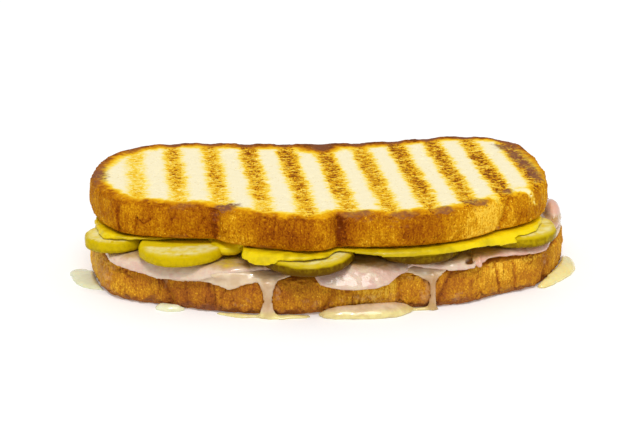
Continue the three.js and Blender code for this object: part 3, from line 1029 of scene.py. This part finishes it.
    def _pressed(self, skin: Skin, off: np.ndarray, stripe: np.ndarray) -> np.ndarray:
        """Browns the grilled face along the grill's ridges.

        Args:
            skin: the slice's skin.
            off: each point's distance from the middle of the nearest stripe.
            stripe: that stripe's number, from the left.

        Returns:
            How far each point is toasted.
        """
        place = skin.place
        fringe = grain(place, 1.2, self.seed + 8, (2.5, 1.0, 1.0)) + 0.9 * grain(place, 5.0, self.seed + 9)
        ridge = smoothstep(self.grill_half + 2.0, self.grill_half - 2.6, off + fringe)
        backward = smoothstep(-36.0, 6.0, place[:, 1])
        front, back = np.array(self.front_heats)[stripe], np.array(self.back_heats)[stripe]
        heat = front * (1.0 - backward) + back * backward
        patchy = 0.90 + 0.28 * grain(place, 9.0, self.seed + 10) + 0.14 * grain(place, 3.0, self.seed + 19)
        return (skin.normals[:, 2] * self.grilled.value > 0) * ridge * heat * patchy

    def _stains(self, skin: Skin) -> None:
        """Paints where cheese left a film on the crust and where it is wet.

        Args:
            skin: the slice's skin.
        """
        film = patches(skin.place, self.films, 0.65, self.seed + 21)
        speckled = film * smoothstep(-0.6, 0.3, rough(skin.place, 1.4, self.seed + 22))
        glaze = patches(skin.place, self.glazes, 0.5, self.seed + 23)
        skin.paint("film", np.maximum(speckled, self.greasy))
        skin.paint("wet", self.damp + 0.25 * film + glaze)


@dataclass
class PickleChip(Piece):
    """One pickle chip, with sizes in millimetres."""

    node: str
    name: str
    number: int
    # how much painted shade lies on the chip's skin
    shade: float
    smeared: float = 99.0
    slot: str = "pickle"
    voxel: float = 0.45
    relax: int = 5
    thickness: float = 4.2
    dish: float = 0.22
    seed_relief: float = 0.12

    def work(self, skin: Skin) -> None:
        """Shapes and paints the chip: a dished face with seeds, a knobbly skin, and painted shade on the
        skin.

        Args:
            skin: the chip's skin.
        """
        low, high = skin.points.min(0), skin.points.max(0)
        centre = (low + high) / 2
        outline = Outline(skin.points, (centre[0], centre[1]))
        place = skin.points - centre
        share = outline.share(skin.points)
        face = smoothstep(0.6, 0.95, np.abs(skin.normals[:, 2]))
        bearing = np.arctan2(place[:, 1], place[:, 0])
        seeds = smoothstep(0.24, 0.10, cells(place * [1.0, 1.0, 0.2], 3.2, self.number))
        seeds = seeds * bell(share - 0.42, 0.2)
        dish = 0.14 * grain(place, 5.0, self.number) - self.dish * smoothstep(0.75, 0.3, share)
        knobs = 0.10 * np.sin(bearing * 9 + self.number) + 0.20 * grain(place, 3.2, self.number + 20)
        skin.push(face * (dish + self.seed_relief * seeds) + (1.0 - face) * knobs)
        skin.paint("skin", 1.0 - smoothstep(0.30, 0.75, skin.normals[:, 2]))
        skin.paint("rind", smoothstep(0.84, 0.99, share))
        skin.paint("seeds", seeds)
        behind = place[:, 1] - place[:, 1].min() + 1.2 * grain(place, 4.0, self.number + 40)
        skin.paint("smear", smoothstep(self.smeared - 0.8, self.smeared + 0.8, behind))
        height = (skin.points[:, 2] - low[2]) / self.thickness
        # Painted shade on the skin: the chip's own amount, and darker towards its bottom.
        skin.paint("depth", self.shade + 0.28 * smoothstep(0.55, 0.0, height))


@dataclass
class HamSheet(Piece):
    """One sheet of ham, with sizes in millimetres. Its cut sides overlap the next sheets a little."""

    node: str
    name: str
    pinkness: float
    seed: int
    cuts: tuple[Station, ...]
    slot: str = "ham"
    # hollows are pushed in and given painted shade
    hollows: tuple[Patch, ...] = ()
    ridges: tuple[Patch, ...] = ()
    smears: tuple[Patch, ...] = ()
    voxel: float = 0.55
    relax: int = 4
    ripple: float = 0.35
    fine_ripple: float = 0.14
    fold: float = 0.9
    cut_lean: float = math.radians(4.0)
    cut_width: float = 2.2
    overlap: float = 0.75
    over: float = 0.22

    def work(self, skin: Skin) -> None:
        """Shapes and paints the sheet: ripples, folds, stains of juice and mustard, and painted shade.

        Args:
            skin: the sheet's skin.
        """
        self._overlap(skin)
        place = skin.place
        flat = smoothstep(0.92, 0.999, np.abs(skin.normals[:, 2]))
        ripple = self.ripple * grain(place, 6.0, self.seed, (1.0, 1.0, 2.0))
        ripple += self.fine_ripple * grain(place, 2.0, self.seed + 1)
        hollow = patches(place, self.hollows, 0.25, self.seed + 4)
        ridge = patches(place, self.ridges, 0.15, self.seed + 5)
        skin.push((1.0 - flat) * ripple - self.fold * hollow + self.fold * ridge)
        skin.paint("pinkness", self.pinkness + 0.25 * grain(place, 12.0, self.seed + 2))
        # A juice stain and painted shade over the sheet's upper part, under the pickles.
        stained = smoothstep(15.4, 17.2, place[:, 2] + 0.8 * grain(place, 5.0, self.seed + 6))
        skin.paint("juice", 0.8 * stained * smoothstep(19.0, 17.6, place[:, 2]))
        skin.paint("smear", patches(place, self.smears, 0.4, self.seed + 7))
        # Painted shade in the pushed-in hollows.
        skin.paint("crease", np.clip(1.3 * hollow - ridge, 0.0, 1.0))

    def _overlap(self, skin: Skin) -> None:
        """Stretches the cut sides toward the next sheets, some over and some under them.

        Args:
            skin: the sheet's skin.
        """
        place = skin.place
        offsets = np.zeros_like(place)
        for x, side in self.cuts:
            wall = x + place[:, 1] * math.tan(self.cut_lean)
            near = smoothstep(self.cut_width, 0.0, (wall - place[:, 0]) * side)
            offsets[:, 0] += near * self.overlap * side
            offsets += skin.normals * (near * self.over)[:, None] * (side > 0)
        skin.shift(offsets)


@dataclass
class CheeseRun(Piece):
    """Melted cheese or a pool of it, with sizes in millimetres."""

    node: str
    name: str
    slot: str = "cheese"
    drips: tuple[Patch, ...] = ()
    dabs: tuple[Lump, ...] = ()
    voxel: float = 0.6
    relax: int = 6

    def work(self, skin: Skin) -> None:
        """Shapes and paints the cheese: soft ripples, yellow where it pools and thin where it drips.

        Args:
            skin: the cheese's skin.
        """
        place = skin.place
        skin.push(0.18 * grain(place, 3.5, 51) + 0.06 * grain(place, 1.2, 52))
        skin.paint("pooled", smoothstep(3.2, 1.6, place[:, 2] + 0.5 * grain(place, 3.0, 54)))
        skin.paint("thinness", patches(place, self.drips, 0.2, 53))


@dataclass
class MustardLayer(Piece):
    """The mustard between the chips and the upper slice, with sizes in millimetres."""

    node: str = "mustard"
    name: str = "mustard_layer"
    slot: str = "mustard"
    # painted shade along x: how far the mustard is darkened at each place
    smears: tuple[Station, ...] = (
        (-82, 0.25), (-74, 0.35), (-66, 0.8), (-42, 0.8), (-36, 0.35), (-20, 0.45), (-2, 0.6),
        (10, 0.75), (36, 0.65), (46, 0.25), (52, 0.45), (58, 0.0), (76, 0.1),
    )
    dabs: tuple[Lump, ...] = (Lump((-35.5, -30.0, 20.3), (6.5, 6.0, 2.7)),)
    voxel: float = 0.62
    relax: int = 9

    def work(self, skin: Skin) -> None:
        """Shapes and paints the mustard: soft ripples, and painted shade in stretches along x.

        Args:
            skin: the mustard's skin.
        """
        place = skin.place
        skin.push(0.25 * grain(place, 5.0, 61) + 0.10 * grain(place, 1.8, 62))
        # Painted shade along x.
        skin.paint("smear", stations(place[:, 0], self.smears))


# Studio


def toward(azimuth: float, elevation: float) -> Vector:
    """Works out a direction.

    Args:
        azimuth: degrees from the front, counted to the right.
        elevation: degrees above the floor.

    Returns:
        The direction, of length 1.
    """
    turn, rise = math.radians(azimuth), math.radians(elevation)
    return Vector((math.sin(turn) * math.cos(rise), -math.cos(turn) * math.cos(rise), math.sin(rise)))


@dataclass(frozen=True)
class Lamp:
    """A far lamp: its strength, and in degrees how wide it looks and where it stands."""

    name: str
    strength: float
    spread: float
    azimuth: float
    elevation: float

    def build(self) -> None:
        """Hangs the lamp."""
        data = bpy.data.lights.new(self.name, "SUN")
        data.angle = math.radians(self.spread)
        data.energy = self.strength
        lamp = bpy.data.objects.new(self.name, data)
        lamp.rotation_euler = toward(self.azimuth, self.elevation).to_track_quat("Z", "Y").to_euler()
        bpy.context.collection.objects.link(lamp)


@dataclass(frozen=True)
class Studio:
    """A white floor, soft light all round and a camera at the photograph's angle."""

    target: Triple = (-2.0, 13.0, 14.6)
    distance: float = 647.8
    azimuth: float = -5.0
    elevation: float = 18.0
    lens: float = 102.19
    sensor: float = 36.0
    nearest: float = 0.05
    farthest: float = 20.0
    floor_half: float = 1.6
    floor_colour: Colour = (0.88, 0.88, 0.88)
    floor_glow: float = 0.15
    sky: float = 0.55
    lamps: tuple[Lamp, ...] = (
        Lamp("key", 1.25, 32.0, 2.0, 58.0),
        Lamp("glint", 0.70, 5.0, -12.0, 58.0),
    )

    def build(self, origin: np.ndarray) -> None:
        """Makes floor, lights and camera.

        Args:
            origin: the slices' middle, in millimetres.
        """
        self._floor()
        self._sky()
        for lamp in self.lamps:
            lamp.build()
        self._camera(origin)
        bpy.context.scene.view_settings.view_transform = "Standard"

    def _floor(self) -> None:
        """Makes the pale floor."""
        mesh = bpy.data.meshes.new("floor")
        work = bmesh.new()
        bmesh.ops.create_grid(work, x_segments=1, y_segments=1, size=self.floor_half)
        work.to_mesh(mesh)
        work.free()
        floor = bpy.data.objects.new("floor", mesh)
        bpy.context.collection.objects.link(floor)
        shader = Shader("white_floor")
        shader.set(Base_Color=self.floor_colour, Roughness=0.6, Specular_IOR_Level=0.1)
        shader.set(Emission_Color=EVEN, Emission_Strength=self.floor_glow)
        mesh.materials.append(shader.material)

    def _sky(self) -> None:
        """Lights everything evenly from all sides."""
        world = bpy.data.worlds.new("light_tent")
        world.use_nodes = True
        background = world.node_tree.nodes["Background"]
        background.inputs["Color"].default_value = (*EVEN, 1.0)
        background.inputs["Strength"].default_value = self.sky
        bpy.context.scene.world = world

    def _camera(self, origin: np.ndarray) -> None:
        """Sets the camera at the photograph's viewing angle.

        Args:
            origin: the slices' middle, in millimetres.
        """
        away = toward(self.azimuth, self.elevation)
        data = bpy.data.cameras.new("camera")
        data.lens = self.lens
        data.sensor_width = self.sensor
        data.clip_start = self.nearest
        data.clip_end = self.farthest
        camera = bpy.data.objects.new("camera", data)
        target = (Vector(self.target) + Vector(origin)) * MM
        camera.location = target + away * self.distance * MM
        camera.rotation_euler = (-away).to_track_quat("-Z", "Y").to_euler()
        bpy.context.collection.objects.link(camera)
        bpy.context.scene.camera = camera


# The panini


def upper_slice() -> BreadSlice:
    """Returns the upper slice's plan."""
    return BreadSlice(
        node="bread_top",
        name="upper_slice",
        grilled=Grilled.TOP,
        # folds in the front crust, each with painted shade along it
        creases=(
            Crease(-71.7, 0.32, 0.9, 1.0, fade=(0.4, 0.4), high=33.0),
            Crease(-66.0, 0.35, 0.6, 0.8, lean=0.05, z=26.0, fade=(0.5, 0.5), high=30.5),
            Crease(-64.7, 0.3, 0.4, 0.6, lean=-1.0, z=29.3, fade=(0.4, 0.4), low=28.2, high=30.6),
            Crease(-62.0, 0.3, 0.4, 0.6, lean=1.15, z=29.5, fade=(0.4, 0.4), low=28.2, high=31.0),
            Crease(-39.2, 0.9, 0.9, 0.8, fade=(2.2, 0.3)),
            Crease(0.3, 0.8, 1.1, 0.9, fade=(0.4, 2.4)),
            Crease(18.0, 2.0, 0.3, 0.15, fade=(1.5, 1.5)),
            Crease(41.0, 2.4, 0.4, 0.1),
            Crease(58.2, 0.9, 0.8, 0.6, lean=0.35, z=29.2, fade=(0.7, 1.0)),
        ),
        tones=(
            (-82, 0.60), (-64, 0.52), (-56, 0.44), (-46, 0.46), (-40, 0.42), (-37, 0.62), (-28, 0.58),
            (-24, 0.33), (-15, 0.30), (-8, 0.48), (0, 0.40), (3, 0.34), (10, 0.60), (19, 0.60), (23, 0.35),
            (34, 0.37), (38, 0.62), (45, 0.82), (50, 0.92), (57, 0.88), (63, 0.62), (72, 0.62), (80, 0.72),
        ),
        rings=(
            (0, 6.5), (25, 9.5), (55, 13.0), (125, 13.0), (155, 11.0), (170, 8.5), (180, 6.5), (195, 7.0),
            (215, 6.5), (240, 6.0), (270, 6.0), (300, 5.5), (330, 6.0), (345, 6.5), (360, 6.5),
        ),
        ring_heats=(
            (0, 0.54), (25, 0.95), (55, 1.08), (130, 1.02), (155, 0.92), (175, 0.80), (190, 0.74),
            (205, 0.72), (225, 0.72), (300, 0.70), (325, 0.60), (340, 0.50), (360, 0.58),
        ),
        back_scorch=(0.3, 0.5, 0.8, 0.9, 0.8, 0.8, 0.7, 0.9, 0.9, 1.0, 1.0, 0.9),
        spots=(
            Patch(-78.7, 3.5, 2.8, 12.0, 1.0),
            Patch(-50.3, -30.6, 3.8, 2.0, 0.5),
            Patch(-36.0, -34.5, 5.0, 3.2, 1.0),
            Patch(6.7, -44.8, 6.0, 2.4, 0.75),
            Patch(21.4, -46.0, 5.4, 2.2, 0.65),
            Patch(35.2, -43.0, 4.2, 2.8, 0.8),
            Patch(47.6, -36.0, 4.6, 2.8, 0.85),
            Patch(60.0, -25.0, 2.6, 2.4, 1.0),
            Patch(69.0, 30.0, 3.6, 5.0, 0.95),
            Patch(71.6, 19.0, 2.8, 8.0, 1.0),
            Patch(73.0, 6.0, 2.6, 8.5, 1.0),
            Patch(73.6, -7.5, 2.4, 7.5, 1.0),
        ),
        torn=(Patch(55.0, -31.5, 5.0, 1.5, 0.7, lean=0.8), Patch(66.5, -24.5, 5.5, 1.8, 1.0, lean=0.9)),
        scorches=(Patch(-24.2, 24.0, 3.4, 0.9, 0.5), Patch(-52.0, 24.2, 4.0, 0.8, 0.35)),
        films=(Patch(56.1, 24.6, 0.8, 0.8, 1.0),),
        seed=1,
    )


def lower_slice() -> BreadSlice:
    """Returns the lower slice's plan."""
    return BreadSlice(
        node="bread_bottom",
        name="lower_slice",
        grilled=Grilled.UNDERSIDE,
        # folds in the front crust, each with painted shade along it
        creases=(
            Crease(-76.0, 0.8, 0.5, 0.35),
            Crease(-66.5, 0.9, 0.4, 0.25),
            Crease(-56.4, 1.2, 1.2, 0.5, lean=-0.2, z=8.0, fade=(1.5, 0.8)),
            Crease(-49.6, 0.7, 0.4, 0.35),
            Crease(-41.6, 1.1, 0.8, 0.6, lean=-0.1, z=8.0, fade=(1.5, 0.8)),
            Crease(-1.8, 1.1, 1.0, 0.6, lean=0.45, z=7.0, fade=(0.9, 1.4)),
            Crease(21.2, 0.9, 0.9, 0.7, fade=(0.7, 1.0)),
            Crease(36.9, 0.8, 0.9, 0.8, lean=0.45, z=7.5, fade=(0.7, 1.0)),
            Crease(56.6, 0.35, 0.9, 1.0, lean=-0.22, z=6.0, fade=(0.35, 0.35)),
            Crease(62.6, 0.6, 0.7, 0.6, lean=-0.15, z=7.0, fade=(0.5, 0.7), high=12.0),
            Crease(75.0, 0.9, 0.8, 0.4),
        ),
        # crust tone along x; lighter from x 0 to 20 as painted light against the ham tongue's shadow
        tones=(
            (-82, 0.88), (-72, 0.68), (-60, 0.54), (-52, 0.40), (-40, 0.44), (-22, 0.40), (-12, 0.52),
            (0, 0.70), (12, 0.92), (20, 0.80), (26, 0.62), (36, 0.50), (44, 0.58), (50, 0.68), (56, 0.86),
            (62, 0.80), (72, 0.60), (88, 0.70),
        ),
        rings=((0, 8.0),),
        ring_heats=((0, 0.75),),
        chars=(
            (-82, 0.2), (-76, 0.9), (-58, 0.9), (-54, 0.1), (-50, 0.8), (-36, 0.8), (-32, 0.3),
            (-27, 0.9), (-20, 0.9), (-14, 0.4), (24, 0.2), (28, 0.8), (37, 0.8), (44, 0.5), (50, 0.9),
            (66, 0.9), (72, 0.3),
        ),
        back_scorch=(0.5, 0.5, 0.6, 0.6, 0.7, 0.7, 0.7, 0.8, 0.7, 0.8, 0.8, 0.8),
        films=(
            Patch(-79.0, 8.0, 5.0, 8.0, 0.55),
            Patch(-56.6, 10.5, 0.8, 2.8, 0.8),
            Patch(-19.8, 8.5, 1.6, 2.4, 0.5),
            Patch(12.0, 4.0, 12.0, 3.0, 0.30),
            Patch(31.5, 8.0, 2.4, 7.0, 0.50, lean=0.15),
            Patch(75.2, 10.0, 0.8, 2.6, 0.7),
        ),
        glazes=(
            Patch(-31.5, 5.5, 3.0, 2.5, 0.8),
            Patch(-9.5, 4.5, 4.0, 2.2, 0.8),
            Patch(10.0, 5.0, 12.0, 2.4, 0.7),
            Patch(24.0, 11.5, 5.0, 2.0, 1.0),
            Patch(42.0, 4.0, 5.0, 2.6, 0.8),
        ),
        cracked=1.0,
        lift=1.3,
        greasy=0.08,
        seed=30,
    )


def ham_sheets() -> tuple[HamSheet, ...]:
    """Returns the plans of the paler ham sheets, from the left."""
    first, second, third = HAM_CUTS
    return (
        HamSheet(
            "ham_left", "ham_sheet_left", 0.35, 71, ((first, 1),),
            smears=(Patch(-36.0, 19.5, 7.0, 2.6, 1.0),),
        ),
        HamSheet("ham_centre", "ham_tongue", 0.65, 75, ((first, -1), (second, 1)), ripple=0.30),
        HamSheet(
            "ham_right", "ham_strip", 0.45, 79, ((second, -1), (third, 1)),
            # a pocket in the strip, pushed in and given painted shade
            hollows=(Patch(45.6, 16.2, 1.9, 0.9, 1.0, lean=0.6),),
        ),
    )


def ham_end() -> HamSheet:
    """Returns the plan of the pinker ham at the right end."""
    return HamSheet(
        "ham_right_end", "ham_end", 0.9, 83, ((HAM_CUTS[-1], -1),),
        # the gap under the end sheet's lower edge, pushed in and given painted shade
        hollows=(Patch(54.0, 14.2, 4.2, 0.9, 0.9),),
        ridges=(Patch(48.6, 14.8, 0.7, 2.2),),
    )


def melted_cheese() -> CheeseRun:
    """Returns the plan of the melted cheese, with its drips and the seam it fills under the ham."""
    return CheeseRun(
        "cheese_melt", "cheese_melted",
        drips=(
            Patch(-23.5, 7.0, 2.6, 6.0, 0.65),
            Patch(33.0, 5.5, 5.0, 8.5, 0.85),
            Patch(-5.5, 2.0, 5.0, 2.5, 0.3),
        ),
        dabs=(Lump((-31.0, -41.9, 14.3), (11.5, 2.0, 1.5)),),
        voxel=0.66,
    )


def pickle_chips() -> tuple[PickleChip, ...]:
    """Lists the chips, with the ones at the front first.

    Returns:
        Their plans: the front row from the left, and then the middle and back rows.
    """
    # how much painted shade lies on each chip's skin, from the first chip
    shades = (0.16, 0.12, 0.85, 0.80, 0.48, 0.4, 0.4, 0.4, 0.15, 0.2, 0.1, 0.25)
    chips = tuple(
        PickleChip(f"pickle_{number}", f"pickle_chip_{number}", number, shade)
        for number, shade in enumerate(shades, start=1)
    )
    chips[1].smeared = 10.0
    return chips


def main() -> None:
    """Builds the panini piece by piece."""
    logging.basicConfig(level=logging.INFO, format="%(name)s: %(message)s")
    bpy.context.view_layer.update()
    origin = SliceFrame().origin()

    bread = ToastedBread().material()
    lower_slice().build(origin, bread)
    upper_slice().build(origin, bread)

    melted = MeltedCheese("melted_cheese", (0.74, 0.57, 0.38), (0.82, 0.71, 0.30))
    clear = MeltedCheese("clear_cheese", (0.84, 0.74, 0.30), (0.86, 0.74, 0.30), (0.80, 0.55, 0.12))
    pale = MeltedCheese("pale_cheese", (0.80, 0.80, 0.56), (0.80, 0.80, 0.56), (0.70, 0.66, 0.34))
    melted_cheese().build(origin, melted.material())
    pooled = pale.material()
    for side, finish in (("left", pooled), ("front", pooled), ("right", clear.material())):
        CheeseRun(f"cheese_pool_{side}", f"cheese_puddle_{side}").build(origin, finish)

    ham = HamMeat().material()
    pink_ham = HamMeat("pink_ham", (0.80, 0.62, 0.47), (0.74, 0.42, 0.30)).material()
    for sheet in ham_sheets():
        sheet.build(origin, ham)
    ham_end().build(origin, pink_ham)

    pickle = PickleFlesh().material()
    for chip in pickle_chips():
        chip.build(origin, pickle)

    MustardLayer().build(origin, Mustard().material())

    Studio().build(origin)


if __name__ == "__main__":
    main()
